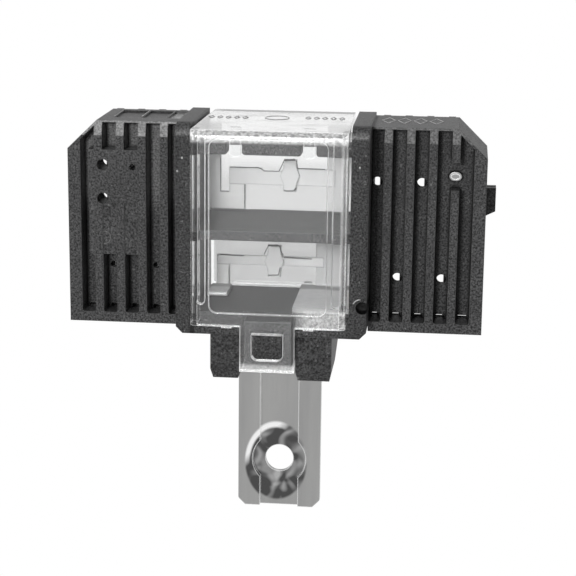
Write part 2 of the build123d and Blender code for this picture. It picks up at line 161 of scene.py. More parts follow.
# %% [markdown]
# The photograph's main light comes from the front, a little to the left and above: the left side of each
# rib's channel is in shadow and its floor is lit. One small square lamp gives that. A sun would make the
# shadows too hard, and a large softbox would lose them in the channels. A weak, broad lamp above
# gives the wings' tops their sheen.

# %% Lamps
def lamp(name, place, target, size, power):
    """A square soft lamp at place, facing target, both in millimetres."""
    data = bpy.data.lights.new(name, "AREA")
    data.shape = "SQUARE"
    data.size = size * MM
    data.energy = power
    obj = bpy.data.objects.new(name, data)
    bpy.context.collection.objects.link(obj)
    obj.location = Vector(place) * MM
    obj.rotation_euler = (Vector(target) - Vector(place)).to_track_quat("-Z", "Y").to_euler()
    return obj


lamp("key_lamp", place=(-72, -525, 180), target=(0, 0, 40), size=80, power=1.15)
lamp("top_lamp", place=(-120, -60, 420), target=(0, 0, 60), size=260, power=0.32)

# %% [markdown]
# The block hangs from its stud, so the floor lies well below it. It is a plain pale disc, which has no
# corners that could show from another side. The lamps are aimed at the block and light the floor only
# weakly. A brighter lamp would change the block too, so the floor has a faint glow of its own instead.

# %% Floor
FLOOR_RADIUS = 550 * MM
FLOOR_HEIGHT = -300 * MM
FLOOR_PAINT = {"Base Color": (0.90, 0.90, 0.90, 1.0), "Roughness": 0.9,
               "Emission Color": WHITE, "Emission Strength": 0.5}

floor_mesh = bpy.data.meshes.new("floor")
disc = bmesh.new()
bmesh.ops.create_circle(disc, cap_ends=True, segments=64, radius=FLOOR_RADIUS)
disc.to_mesh(floor_mesh)
disc.free()
floor = bpy.data.objects.new("floor", floor_mesh)
bpy.context.collection.objects.link(floor)
floor.location.z = FLOOR_HEIGHT
floor_paint = bpy.data.materials.new("floor_paint")
floor_paint.use_nodes = True
for label, value in FLOOR_PAINT.items():
    floor_paint.node_tree.nodes["Principled BSDF"].inputs[label].default_value = value
floor_mesh.materials.append(floor_paint)
print("floor at", round(floor.location.z / MM), "mm")

# %% [markdown]
# ## Masks and colours
#
# A finish changes from place to place: a crest is rubbed pale, a corner stays dark. Such places could be
# painted by hand on an image, but here they are worked out from the surface's own coordinates and from
# the way it faces. Those belong to the object, so the finish holds still when the camera moves.

# %% Helpers for masks
def remap(tree, value, low, high, to_low=0.0, to_high=1.0):
    """A Map Range node: low becomes to_low, high becomes to_high, and nothing passes them."""
    node = add(tree, "ShaderNodeMapRange", values={"From Min": low, "From Max": high,
                                                   "To Min": to_low, "To Max": to_high})
    tree.links.new(value, node.inputs["Value"])
    return node.outputs["Result"]


def ramp(tree, coordinate, start, end):
    """0 at start and 1 at end, two places in millimetres along a coordinate."""
    return remap(tree, coordinate, start * MM, end * MM)


def coordinates(tree, kind):
    """The X, Y and Z sockets of the object's own place ("Object") or facing ("Normal")."""
    split = add(tree, "ShaderNodeSeparateXYZ")
    tree.links.new(add(tree, "ShaderNodeTexCoord").outputs[kind], split.inputs[0])
    return split.outputs["X"], split.outputs["Y"], split.outputs["Z"]


def distance(tree, x, z, centre=(0.0, 0.0)):
    """How far a point is from a centre, seen from the front."""
    flat = add(tree, "ShaderNodeCombineXYZ")
    tree.links.new(x, flat.inputs["X"])
    tree.links.new(z, flat.inputs["Z"])
    measure = add(tree, "ShaderNodeVectorMath", operation="DISTANCE")
    tree.links.new(flat.outputs[0], measure.inputs[0])
    measure.inputs[1].default_value = (centre[0], 0.0, centre[1])
    return measure.outputs["Value"]


print("mask helpers ready")

# %% [markdown]
# A Mix node has sockets for numbers, vectors and colours under the same names, so they are reached by
# their numbers. The numbers are written once here.

# %% Helpers for colours and normals
VECTOR_A, VECTOR_B, VECTOR_OUT = 4, 5, 1
COLOUR_A, COLOUR_B, COLOUR_OUT = 6, 7, 2


def grey(level):
    """A neutral grey."""
    return (level, level, level)


def blend_colours(tree, mask, first, second):
    """A Mix node between two colours or colour sockets."""
    node = add(tree, "ShaderNodeMix", data_type="RGBA")
    tree.links.new(mask, node.inputs["Factor"])
    for socket, value in ((node.inputs[COLOUR_A], first), (node.inputs[COLOUR_B], second)):
        if isinstance(value, tuple):
            socket.default_value = value + (1.0,)
        else:
            tree.links.new(value, socket)
    return node.outputs[COLOUR_OUT]


def blend_normals(tree, mask, first, second):
    """A Mix node between two normals."""
    node = add(tree, "ShaderNodeMix", data_type="VECTOR")
    tree.links.new(mask, node.inputs["Factor"])
    tree.links.new(first, node.inputs[VECTOR_A])
    tree.links.new(second, node.inputs[VECTOR_B])
    return node.outputs[VECTOR_OUT]


def rounded_edge(tree, radius, samples=6):
    """The normal of a surface whose edges are rounded by that radius."""
    return add(tree, "ShaderNodeBevel", samples=samples, values={"Radius": radius}).outputs["Normal"]


def bump(tree, height, distance, strength, normal=None):
    """A Bump node, over another normal if one is given."""
    node = add(tree, "ShaderNodeBump", values={"Distance": distance, "Strength": strength})
    tree.links.new(height, node.inputs["Height"])
    if normal is not None:
        tree.links.new(normal, node.inputs["Normal"])
    return node.outputs["Normal"]


print("colour helpers ready")

# %% [markdown]
# ## Effects that several finishes share
#
# Grain, edge light and scuffs appear on more than one material, so each is a node group with named
# inputs, built once and placed in each material with its own values. A group gives out only masks and
# heights. The shader itself stays in the material, where its plain numbers can be read.

# %% A helper for node groups
def new_group(name, inputs, outputs):
    """An empty shader group with number inputs (name: default) and number outputs."""
    tree = bpy.data.node_groups.new(name, "ShaderNodeTree")
    for label, value in inputs.items():
        socket = tree.interface.new_socket(label, in_out="INPUT", socket_type="NodeSocketFloat")
        socket.default_value = value
    for label in outputs:
        tree.interface.new_socket(label, in_out="OUTPUT", socket_type="NodeSocketFloat")
    return tree, tree.nodes.new("NodeGroupInput"), tree.nodes.new("NodeGroupOutput")


def place_group(tree, group, **values):
    """The outputs of one use of a group, with its own values."""
    node = add(tree, "ShaderNodeGroup", node_tree=group)
    for label, value in values.items():
        node.inputs[label.replace("_", " ")].default_value = value
    return node.outputs


print("group helpers ready")

# %% [markdown]
# The black plastic comes out of a mould whose steel was etched by sparks, so it is covered in a fine,
# even grain. A scanned texture would show it best from one distance only. Noise in three sizes works from
# any: a fine one for the grain, a broad one for uneven gloss, and rare specks where the grain stands out.

# %% Grain
MOTTLE_RANGE = (0.38, 0.64)
SPECK_RANGE = (0.66, 0.80)
SPECK_SIZE = 0.62


def build_grain():
    """The etched grain of a mould, with broad unevenness and rare specks."""
    tree, given, out = new_group("moulded_grain", {"Grain Size": 0.0003, "Broad Size": 0.006},
                                 ("Height", "Patches", "Specks", "Mottle"))
    place = add(tree, "ShaderNodeTexCoord").outputs["Object"]
    fine = add(tree, "ShaderNodeTexNoise", values={"Detail": 3.0, "Roughness": 0.6})
    broad = add(tree, "ShaderNodeTexNoise", values={"Detail": 2.0})
    specks = add(tree, "ShaderNodeTexNoise", values={"Detail": 1.0})
    fine_scale = calculate(tree, "DIVIDE", 1.0, given.outputs["Grain Size"])
    broad_scale = calculate(tree, "DIVIDE", 1.0, given.outputs["Broad Size"])
    speck_scale = calculate(tree, "MULTIPLY", fine_scale, SPECK_SIZE)
    for node, scale in ((fine, fine_scale), (broad, broad_scale), (specks, speck_scale)):
        tree.links.new(place, node.inputs["Vector"])
        tree.links.new(scale, node.inputs["Scale"])
    tree.links.new(fine.outputs["Fac"], out.inputs["Height"])
    tree.links.new(remap(tree, fine.outputs["Fac"], *MOTTLE_RANGE), out.inputs["Mottle"])
    tree.links.new(broad.outputs["Fac"], out.inputs["Patches"])
    tree.links.new(remap(tree, specks.outputs["Fac"], *SPECK_RANGE), out.inputs["Specks"])
    return tree


grain_group = build_grain()
print(grain_group.name, [i.name for i in grain_group.interface.items_tree])

# %% [markdown]
# Every sharp edge is worn smooth and catches a thin line of light. Real bevels on each edge would make
# a heavy mesh, and the CAD meshes stay as they are. A Bevel node gives the normal of a rounded edge, and
# where that differs from the flat normal there is an edge. The materials paint along this band: a highlight
# on the moulding, the tab and the pin, a glow on the cover, and a shade on the tin plates and inside the
# block.

# %% Edge light
def build_edges():
    """A mask of the narrow band along edges."""
    tree, given, out = new_group("edge_band", {"Width": 0.0002, "Sharpness": 6.0}, ("Edge",))
    rounded = add(tree, "ShaderNodeBevel", samples=6)
    tree.links.new(given.outputs["Width"], rounded.inputs["Radius"])
    flat = add(tree, "ShaderNodeNewGeometry")
    same = add(tree, "ShaderNodeVectorMath", operation="DOT_PRODUCT")
    tree.links.new(rounded.outputs["Normal"], same.inputs[0])
    tree.links.new(flat.outputs["True Normal"], same.inputs[1])
    turned = calculate(tree, "SUBTRACT", 1.0, same.outputs["Value"])
    band = calculate(tree, "MULTIPLY", turned, given.outputs["Sharpness"], clamp=True)
    tree.links.new(band, out.inputs["Edge"])
    return tree


edge_group = build_edges()
print(edge_group.name, [i.name for i in edge_group.interface.items_tree])

# %% [markdown]
# Strip metal keeps faint lines from the rolling mill, and handling adds more along its length. Single
# scratches could be modelled as curves, but there are hundreds. Noise that is stretched along Z gives
# them all at once, with gaps between them.

# %% Scuffs
STREAK_RANGE = (0.35, 0.70)


def build_scuffs():
    """Long thin streaks with gaps."""
    tree, given, out = new_group("scuffs", {"Scale": 300.0, "Stretch": 14.0, "Amount": 0.5}, ("Streaks",))
    place = add(tree, "ShaderNodeTexCoord").outputs["Object"]
    squeeze = add(tree, "ShaderNodeMapping", vector_type="POINT")
    squeeze_by = add(tree, "ShaderNodeCombineXYZ", values={"X": 1.0, "Y": 1.0})
    tree.links.new(calculate(tree, "DIVIDE", 1.0, given.outputs["Stretch"]), squeeze_by.inputs["Z"])
    tree.links.new(squeeze_by.outputs[0], squeeze.inputs["Scale"])
    tree.links.new(place, squeeze.inputs["Vector"])
    lines = add(tree, "ShaderNodeTexNoise", values={"Detail": 4.0, "Roughness": 0.65})
    tree.links.new(squeeze.outputs[0], lines.inputs["Vector"])
    tree.links.new(given.outputs["Scale"], lines.inputs["Scale"])
    spread = remap(tree, lines.outputs["Fac"], *STREAK_RANGE)
    tree.links.new(calculate(tree, "MULTIPLY", spread, given.outputs["Amount"]), out.inputs["Streaks"])
    return tree


scuff_group = build_scuffs()
print(scuff_group.name, [i.name for i in scuff_group.interface.items_tree])

# %% [markdown]
# ## The finishes
#
# Each finish starts from the same thing: a new material with its Principled shader. Sockets that change
# over the surface are linked one by one, and plain numbers are set on the shader itself.

# %% Helpers for materials
EVEN_PATCHES = (0.3, 0.7)       # where the broad noise of the grain lies for the most part


def new_material(name):
    """A material, its tree and its Principled shader's inputs."""
    material = bpy.data.materials.new(name)
    material.use_nodes = True
    tree = material.node_tree
    return material, tree, tree.nodes["Principled BSDF"].inputs


def clear_in_shadow(tree, share):
    """An alpha that lets that share of a lamp's light through, while the eye sees the plastic whole."""
    shadow = add(tree, "ShaderNodeLightPath").outputs["Is Shadow Ray"]
    return calculate(tree, "SUBTRACT", 1.0, calculate(tree, "MULTIPLY", shadow, share))


print("material helpers ready")

# %% [markdown]
# ### Black moulding
#
# The housing is one black moulding, but it isn't evenly black. The bevelled tops of the ribs carry a
# painted highlight, the corners of the channels a painted shade, and the middle of the block, uprights
# included, is deeper in tone. Separate materials for these would need the mesh to be cut. One material with
# masks needs no cuts.
# The masks come first: their places are in millimetres from the centre of the bolt hole.

# %% Places on the black moulding
UPRIGHT_INNER, BODY_SIDE = 14.05, 17.4
CHANNEL_FLOOR = (-12.2, -11.8)
MOULD_HOLE = (16.5, 35.3)


def black_places(tree):
    """Masks of the regions of the housing that differ in tone."""
    x, y, z = coordinates(tree, "Object")
    lean, _, rise = coordinates(tree, "Normal")
    aside = calculate(tree, "ABSOLUTE", x, 0.0)
    left_wing = ramp(tree, x, -BODY_SIDE, -BODY_SIDE - 0.4)
    top_left = join(tree, "MULTIPLY", left_wing, ramp(tree, z, 49.0, 54.0))
    hole = distance(tree, x, z, tuple(c * MM for c in MOULD_HOLE))
    return {
        "left_wing": left_wing,
        "top_left": top_left,
        # Bevels that face up and forward, where a highlight is painted.
        "crest": join(tree, "MULTIPLY", remap(tree, rise, 0.12, 0.26), remap(tree, rise, 0.75, 0.35),
                      ramp(tree, z, 55.0, 56.0)),
        "upright": join(tree, "MULTIPLY", ramp(tree, aside, UPRIGHT_INNER, UPRIGHT_INNER + 0.05),
                        ramp(tree, aside, BODY_SIDE, BODY_SIDE - 0.05)),
        "body": ramp(tree, aside, BODY_SIDE + 0.05, BODY_SIDE - 0.05),
        "channel_floor": join(tree, "MULTIPLY", top_left, ramp(tree, y, *CHANNEL_FLOOR),
                              ramp(tree, z, 66.2, 66.0)),
        "panel": join(tree, "MULTIPLY", left_wing, ramp(tree, x, -20.7, -20.4), ramp(tree, z, 66.4, 66.6),
                      ramp(tree, z, 67.1, 66.9)),
        # The hole, channel, slant and left_edge masks carry painted shade.
        "hole": join(tree, "MULTIPLY", ramp(tree, hole, 1.35, 1.25), ramp(tree, y, -18.6, -18.0)),
        "channel": ramp(tree, y, -12.9, CHANNEL_FLOOR[0]),
        "slant": join(tree, "MULTIPLY", remap(tree, calculate(tree, "ABSOLUTE", lean, 0.0), 0.3, 0.6),
                      remap(tree, rise, 0.3, 0.6)),
        "left_edge": join(tree, "MULTIPLY", ramp(tree, x, -15.0, -14.5), ramp(tree, x, -13.8, -14.0),
                          ramp(tree, y, -17.2, -17.8)),
    }


print("places on the housing are measured from the body's side at", BODY_SIDE, "mm")

# %% [markdown]
# The grain's pits are nearly black and its crests dark grey, and the broad noise shifts both a little.
# Over that tone come the pale places: specks, painted light on the channel floors of the left wing, a
# painted reflection on the panel beside its upright, painted highlights on the bevels of the ribs, paler on
# the left wing, and a painted highlight along the edges. Each is one more blend on the last.

# %% Tone of the black moulding
def black_tone(tree, grain, places, edge):
    """The colour of the housing with its painted light, before the painted shade of its corners."""
    patches, mottle = grain["Patches"], grain["Mottle"]
    pits = blend_colours(tree, patches, grey(0.003), grey(0.010))
    crests = blend_colours(tree, patches, (0.085, 0.085, 0.087), (0.200, 0.200, 0.202))
    tone = blend_colours(tree, mottle, pits, crests)
    tone = blend_colours(tree, calculate(tree, "MULTIPLY", places["body"], 0.30), tone, grey(0.003))
    tone = blend_colours(tree, grain["Specks"], tone, grey(0.22))
    # Painted light on the channel floors of the left wing.
    lit_floor = blend_colours(tree, mottle, grey(0.10), grey(0.36))
    tone = blend_colours(tree, calculate(tree, "MULTIPLY", places["channel_floor"], 0.8), tone, lit_floor)
    # Painted reflection on the panel beside the left upright.
    tone = blend_colours(tree, places["panel"], tone, blend_colours(tree, patches, grey(0.42), grey(0.60)))
    # Painted highlights on the bevels of the ribs, paler on the left wing.
    painted_light_right = blend_colours(tree, mottle, grey(0.14), grey(0.40))
    painted_light_left = blend_colours(tree, mottle, grey(0.32), grey(0.74))
    painted_light = blend_colours(tree, places["left_wing"], painted_light_right, painted_light_left)
    tone = blend_colours(tree, calculate(tree, "MULTIPLY", places["crest"], 0.7), tone, painted_light)
    # Painted highlight along the edges.
    return blend_colours(tree, edge, tone, grey(0.18))


print("tone of the housing: grain, specks, floors, panel, crests, edges")

# %% [markdown]
# Corners inside the channels are darkened with painted shade. An Ambient Occlusion node finds them, but it
# would darken every corner of the housing, so it counts only behind the channels' mouths. The mould
# hole, the slanting sides and one edge of the left upright get painted shade in the same way.

# %% Shade on the black moulding
CORNER_REACH = 0.8 * MM
CORNER_OPEN, CORNER_SHUT = 0.92, 0.62


def black_shade(tree, places):
    """A mask of the corners and hollows that get painted shade."""
    corners = add(tree, "ShaderNodeAmbientOcclusion", samples=8, values={"Distance": CORNER_REACH})
    less_on_left = calculate(tree, "SUBTRACT", 1.0, calculate(tree, "MULTIPLY", places["top_left"], 0.45))
    in_channel = join(tree, "MULTIPLY", remap(tree, corners.outputs["AO"], CORNER_OPEN, CORNER_SHUT),
                      places["channel"], less_on_left)
    return join(tree, "MAXIMUM", in_channel, calculate(tree, "MULTIPLY", places["slant"], 0.8),
                calculate(tree, "MULTIPLY", places["left_edge"], 0.85), places["hole"])


print("corners are found within", round(CORNER_REACH / MM, 1), "mm")

# %% [markdown]
# The material puts these together. The uprights' front edges are softer than the rest, so their normal
# comes from a wider bevel. The bump of the grain lies over it, and the panel is smoother than the rest.

# %% Black moulding
def black_moulding():
    """Black plastic with an etched grain, with painted highlights and painted shade by place."""
    material, tree, shader = new_material("black_moulding")
    grain = place_group(tree, grain_group, Grain_Size=0.00036, Broad_Size=0.006)
    edges = place_group(tree, edge_group, Width=0.00022, Sharpness=4.0)
    places = black_places(tree)
    tone = black_tone(tree, grain, places, edges["Edge"])
    # Painted shade darkens the corners and hollows.
    tree.links.new(blend_colours(tree, black_shade(tree, places), tone, grey(0.001)), shader["Base Color"])
    grained = remap(tree, grain["Mottle"], 0.0, 1.0, 0.40, 0.56)
    polish = calculate(tree, "SUBTRACT", 1.0, calculate(tree, "MULTIPLY", places["panel"], 0.75))
    tree.links.new(calculate(tree, "MULTIPLY", grained, polish), shader["Roughness"])
    normal = blend_normals(tree, places["upright"], rounded_edge(tree, 0.00035),
                           rounded_edge(tree, 0.0009, samples=8))
    tree.links.new(bump(tree, grain["Height"], 0.00012, 0.9, normal), shader["Normal"])
    shader["Specular IOR Level"].default_value = 0.22
    return material


finishes = {"housing": black_moulding()}
print("finished:", *finishes)

# %% [markdown]
# ### Clear cover
#
# The cover is clear plastic, drafted and a little hazy. Glass with one colour would do for a flat pane,
# but here the rear wall looks greyer low down than high up, because it is seen through more plastic. So
# the glass is tinted by height on that wall. It is darker along its top, most of all at the front edge.

# %% Tint of the clear cover
REAR_WALL = (1.0, 2.0)
FRONT_FACE = (-22.6, -23.2)


def cover_tint(tree, y, z, front_edge):
    """The colour of the cover's plastic at each place."""
    lower = blend_colours(tree, ramp(tree, z, 47.5, 49.0), grey(0.57), grey(0.72))
    rear = blend_colours(tree, ramp(tree, z, 54.0, 60.0), lower, grey(0.99))
    walls = blend_colours(tree, ramp(tree, z, 66.0, 66.4), (0.935, 0.94, 0.94), grey(0.80))
    tint = blend_colours(tree, ramp(tree, y, *REAR_WALL), walls, rear)
    return blend_colours(tree, front_edge, tint, grey(0.40))


print("the rear wall is tinted behind y =", REAR_WALL[0], "mm")

# %% [markdown]
# The edges of the cover, its front top edge, its toe and its lower right corner look milky: light that
# has travelled inside the plastic comes out there. Tracing that light truly needs many more rays, so
# the places give out a little light of their own. The edges glow evenly, and the broad milky places are
# mottled by the grain group. Beside the lower bay the edges show no line, so the glow is held back.

# %% Light in the clear cover
EDGE_GLOW = 0.40
MILKY_RANGE = (0.22, 0.62)


def cover_light(tree, edge, x, y, z, front_edge):
    """The painted glow that comes out of the cover's edges and its pale places."""
    beside_bay = join(tree, "MULTIPLY", ramp(tree, x, 9.2, 9.6), ramp(tree, x, 12.4, 12.0),
                      ramp(tree, z, 36.5, 38.0), ramp(tree, z, 49.0, 48.0))
    lit_edge = calculate(tree, "MULTIPLY", edge, calculate(tree, "SUBTRACT", 1.0, beside_bay))
    glow = blend_colours(tree, lit_edge, grey(0.0), grey(EDGE_GLOW))
    toe = calculate(tree, "MULTIPLY", ramp(tree, z, 25.7, 25.4), 0.4)
    corner = join(tree, "MULTIPLY", ramp(tree, x, 4.6, 7.0), ramp(tree, z, 36.0, 35.4),
                  ramp(tree, z, 32.2, 32.6), ramp(tree, y, -23.2, -24.0), 0.75)
    painted_shine = join(tree, "MAXIMUM", front_edge, toe, corner)
    fine = place_group(tree, grain_group, Grain_Size=0.0005, Broad_Size=0.004)
    cloudy = remap(tree, fine["Mottle"], 0.0, 1.0, *MILKY_RANGE)
    light = add(tree, "ShaderNodeCombineColor")
    for channel in ("Red", "Green", "Blue"):
        tree.links.new(cloudy, light.inputs[channel])
    return blend_colours(tree, painted_shine, glow, light.outputs["Color"])


print("edge glow:", EDGE_GLOW)

# %% [markdown]
# The material adds the gloss: clean faces are smooth with a slight unevenness, and edges are frosted.
# Glass blocks a lamp's light unless it is told otherwise, and the links inside would be in the dark, so
# shadow rays pass through most of it.

# %% Clear cover
def clear_moulding():
    """Clear plastic whose edges and pale places give out a painted glow."""
    material, tree, shader = new_material("clear_moulding")
    grain = place_group(tree, grain_group, Grain_Size=0.0012, Broad_Size=0.008)
    edge = place_group(tree, edge_group, Width=0.00030, Sharpness=4.0)["Edge"]
    x, y, z = coordinates(tree, "Object")
    front_edge = join(tree, "MULTIPLY", ramp(tree, z, 65.2, 65.8), ramp(tree, y, *FRONT_FACE))
    tree.links.new(cover_tint(tree, y, z, front_edge), shader["Base Color"])
    tree.links.new(cover_light(tree, edge, x, y, z, front_edge), shader["Emission Color"])
    clean = remap(tree, grain["Patches"], *EVEN_PATCHES, 0.012, 0.06)
    frosted = calculate(tree, "MULTIPLY", edge, 0.35)
    tree.links.new(calculate(tree, "ADD", clean, frosted), shader["Roughness"])
    rounded = rounded_edge(tree, 0.00020)
    tree.links.new(bump(tree, grain["Patches"], 0.00005, 0.6, rounded), shader["Normal"])
    tree.links.new(clear_in_shadow(tree, 0.92), shader["Alpha"])
    shader["Emission Strength"].default_value = 1.0
    shader["Transmission Weight"].default_value = 1.0
    shader["IOR"].default_value = 1.5
    return material


finishes["clear_cover"] = clear_moulding()
print("finished:", *finishes)

# %% [markdown]
# ### Burnished busbar
#
# The main busbar is matte tin inside the block, but its tab hangs free and is burnished bright. A round
# reflection is painted on the tab: a dull oval, swirled, with a bright crescent of painted highlight at its
# upper left. The oval could be a thin disc of its own, but it has no thickness, so it is painted. Where the
# tab goes into the block at about 30 mm, the two looks run into each other.

# %% The painted reflection
MARK_SIDES = (-6.8, 5.6)
MARK_ENDS = (-8.8, 7.6)


def painted_reflection(tree, x, z):
    """The mask of the oval painted reflection, and its colour."""
    reach = distance(tree, remap(tree, x, *(c * MM for c in MARK_SIDES), -1.0, 1.0),
                     remap(tree, z, *(c * MM for c in MARK_ENDS), -1.0, 1.0))
    swirl = add(tree, "ShaderNodeTexNoise", values={"Scale": 260.0, "Detail": 1.0, "Distortion": 0.9})
    tree.links.new(add(tree, "ShaderNodeTexCoord").outputs["Object"], swirl.inputs["Vector"])
    reflected_swirl = blend_colours(tree, remap(tree, swirl.outputs["Fac"], 0.40, 0.70), grey(0.07), grey(0.40))
    upper_left = ramp(tree, calculate(tree, "SUBTRACT", z, x), 4.5, 7.0)
    crescent = join(tree, "MULTIPLY", remap(tree, reach, 0.80, 0.86), upper_left)
    return remap(tree, reach, 1.0, 0.94), blend_colours(tree, crescent, reflected_swirl, grey(0.85))


# The printed width is that of the painted reflection.
print("washer's mark:", round(MARK_SIDES[1] - MARK_SIDES[0], 1), "mm wide")

# %% [markdown]
# The rest of the tab takes streaks from the scuffs group, and a painted highlight runs along its sheared
# edges, which turns to a painted shade inside the block. Inside the block nothing rubs the sheet, so there
# it is paler, rougher and looks less metallic. One mask along the height moves colour, roughness and
# Metallic together, which a second material could only do with a hard seam.

# %% Burnished busbar
INSIDE_BLOCK = (29.0, 33.0)


def burnished_busbar():
    """Tin that is matte inside the block and burnished bright on the tab, with a painted reflection."""
    material, tree, shader = new_material("burnished_busbar")
    grain = place_group(tree, grain_group, Grain_Size=0.00025, Broad_Size=0.004)
    edges = place_group(tree, edge_group, Width=0.00030, Sharpness=5.0)
    scuffs = place_group(tree, scuff_group, Scale=300.0, Stretch=12.0, Amount=0.7)
    x, _, z = coordinates(tree, "Object")
    inside = ramp(tree, z, *INSIDE_BLOCK)
    bright = blend_colours(tree, scuffs["Streaks"], (0.34, 0.34, 0.335), (0.27, 0.27, 0.27))
    mark, mark_tone = painted_reflection(tree, x, z)
    tab = blend_colours(tree, mark, bright, mark_tone)
    matte = blend_colours(tree, grain["Patches"], (0.50, 0.50, 0.497), (0.60, 0.60, 0.596))
    ground = blend_colours(tree, inside, tab, matte)
    # Painted highlight along the tab's edges, painted shade along the edges inside the block.
    painted_edge_tone = blend_colours(tree, inside, grey(0.85), grey(0.22))
    tree.links.new(blend_colours(tree, edges["Edge"], ground, painted_edge_tone), shader["Base Color"])
    tree.links.new(remap(tree, inside, 0.0, 1.0, 0.22, 0.5), shader["Roughness"])
    tree.links.new(remap(tree, inside, 0.0, 1.0, 1.0, 0.35), shader["Metallic"])
    tree.links.new(bump(tree, grain["Patches"], 0.00004, 0.5), shader["Normal"])
    return material


finishes["main_busbar"] = burnished_busbar()
print("finished:", *finishes)

# %% [markdown]
# ### Tin plate
#
# The links, plates and slugs are tin-plated too, each a slightly different grey. One material for all
# would make them run together behind the cover, so one function makes a material for each tone. The
# foot of a plate is bent forward over the floor of a bay. Its top takes more light, so a foot may have two
# greys of its own: the top's paler grey is painted light.

# %% A foot's tone
FOOT_BEHIND = (-2.5, -3.5)
FOOT_CLOUD = 0.5


def foot_tone(tree, foot, streaks, tone):
    """The tone of a plate with its bent foot: a grey for the foot's top and one for its front, the top's
    paler grey painted light.
    """
    top, front = foot
    _, y, _ = coordinates(tree, "Object")
    _, _, rise = coordinates(tree, "Normal")
    bent = blend_colours(tree, remap(tree, rise, 0.4, 0.6), grey(front), grey(top))
    clouded = blend_colours(tree, calculate(tree, "MULTIPLY", streaks, FOOT_CLOUD), bent, grey(0.30))
    return blend_colours(tree, ramp(tree, y, *FOOT_BEHIND), tone, clouded)


print("a foot starts at y =", FOOT_BEHIND[0], "mm")

# %% [markdown]
# Patches of the grain group make the tin a little uneven, the scuffs add streaks, and a painted shade
# darkens the sheared edges. A low Metallic value keeps the tin pale and matte: a full metal would mirror
# the white ground in some places and the black housing in others.

# %% Tin plate
DULL_SHARE, STREAK_SHARE = 0.88, 0.80


def tin_plate(name, tone, roughness, sheen=0.35, painted_edge_tone=0.12, foot=None):
    """Matte tin: tone is its grey, sheen how metallic it looks, and the edge tone the grey painted along
    its sheared edges, a painted shade when dark and a painted highlight when pale.
    """
    material, tree, shader = new_material(name)
    grain = place_group(tree, grain_group, Grain_Size=0.00025, Broad_Size=0.005)
    edges = place_group(tree, edge_group, Width=0.00024, Sharpness=6.0)
    streaks = place_group(tree, scuff_group, Scale=420.0, Stretch=10.0, Amount=0.5)["Streaks"]
    ground = blend_colours(tree, grain["Patches"], grey(tone * DULL_SHARE), grey(tone))
    streaked = blend_colours(tree, streaks, ground, grey(tone * STREAK_SHARE))
    if foot is not None:
        streaked = foot_tone(tree, foot, streaks, streaked)
    tree.links.new(blend_colours(tree, edges["Edge"], streaked, grey(painted_edge_tone)), shader["Base Color"])
    gloss = remap(tree, grain["Patches"], *EVEN_PATCHES, roughness - 0.06, roughness + 0.08)
    tree.links.new(gloss, shader["Roughness"])
    tree.links.new(bump(tree, grain["Height"], 0.000012, 0.6), shader["Normal"])
    shader["Metallic"].default_value = sheen
    return material


finishes["upper_output_plate"] = tin_plate("tin_plate", 0.50, 0.50)
finishes["lower_output_plate"] = tin_plate("tin_plate_lower", 0.43, 0.55, foot=(0.84, 0.30))
finishes["upper_fuse_link"] = tin_plate("tin_link", 0.56, 0.45)
finishes["lower_fuse_link"] = tin_plate("tin_link_lower", 0.55, 0.45)
finishes["upper_tin_pill"] = tin_plate("tin_slug", 0.56, 0.50)
finishes["lower_tin_pill"] = tin_plate("tin_slug_lower", 0.55, 0.50)
# The pin's pale rim is a painted highlight.
finishes["wing_pin"] = tin_plate("pin_steel", 0.29, 0.38, sheen=1.0, painted_edge_tone=0.9)
print("finished:", *finishes)

# %% [markdown]
# The finishes go into the material slots of the CAD objects. Their meshes stay as they are, so the
# picture and the CAD model can't drift apart.

# %% Give each node its finish
for name, material in finishes.items():
    for index in range(max(1, len(nodes[name].data.materials))):
        nodes[name].material_slots[index].material = material
print("finished:", len(finishes), "nodes")

# %% [markdown]
# ## Small moulded details
#
# Raised beads, rings and pips are too small to matter for fit, so they are not in the CAD model. Each is
# a curve with a round section that lies half sunk in the surface, which is how a bead cut into a mould
# comes out on the part. The same helper makes them all, and says which body each rides on.

# %% Helpers for beads
def bead(name, points, thickness, material, closed=True):
    """A round-section bead along points in millimetres."""
    curve = bpy.data.curves.new(name, "CURVE")
    curve.dimensions = "3D"
    curve.bevel_depth = thickness * MM
    curve.bevel_resolution = 3
    line = curve.splines.new("POLY")
    line.points.add(len(points) - 1)
    for knot, point in zip(line.points, points):
        knot.co = (*(c * MM for c in point), 1.0)
    line.use_cyclic_u = closed
    line.use_smooth = True
    curve.materials.append(material)
    piece = bpy.data.objects.new(name, curve)
    bpy.context.collection.objects.link(piece)
    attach(piece, "root")
    return piece


def oval(centre, radii, plane, steps=24):
    """Points on an oval about centre, in the XY or XZ plane. Four steps make a diamond."""
    points = []
    for index in range(steps):
        angle = math.radians(360.0 * index / steps)
        along, across = radii[0] * math.cos(angle), radii[1] * math.sin(angle)
        offset = (along, across, 0.0) if plane == "XY" else (along, 0.0, across)
        points.append(tuple(c + o for c, o in zip(centre, offset)))
    return points


print("bead helpers ready")

# %% [markdown]
# Raised marks catch the light and look paler than the moulding round them, so they are painted pale: a
# painted highlight. Colouring them with the housing's own material would hide them, so they get a plainer
# relative of it with one tone. The pale bar over the latch's window and the dark shadow lines further down
# are matte and mottled too, and are made by the same function.

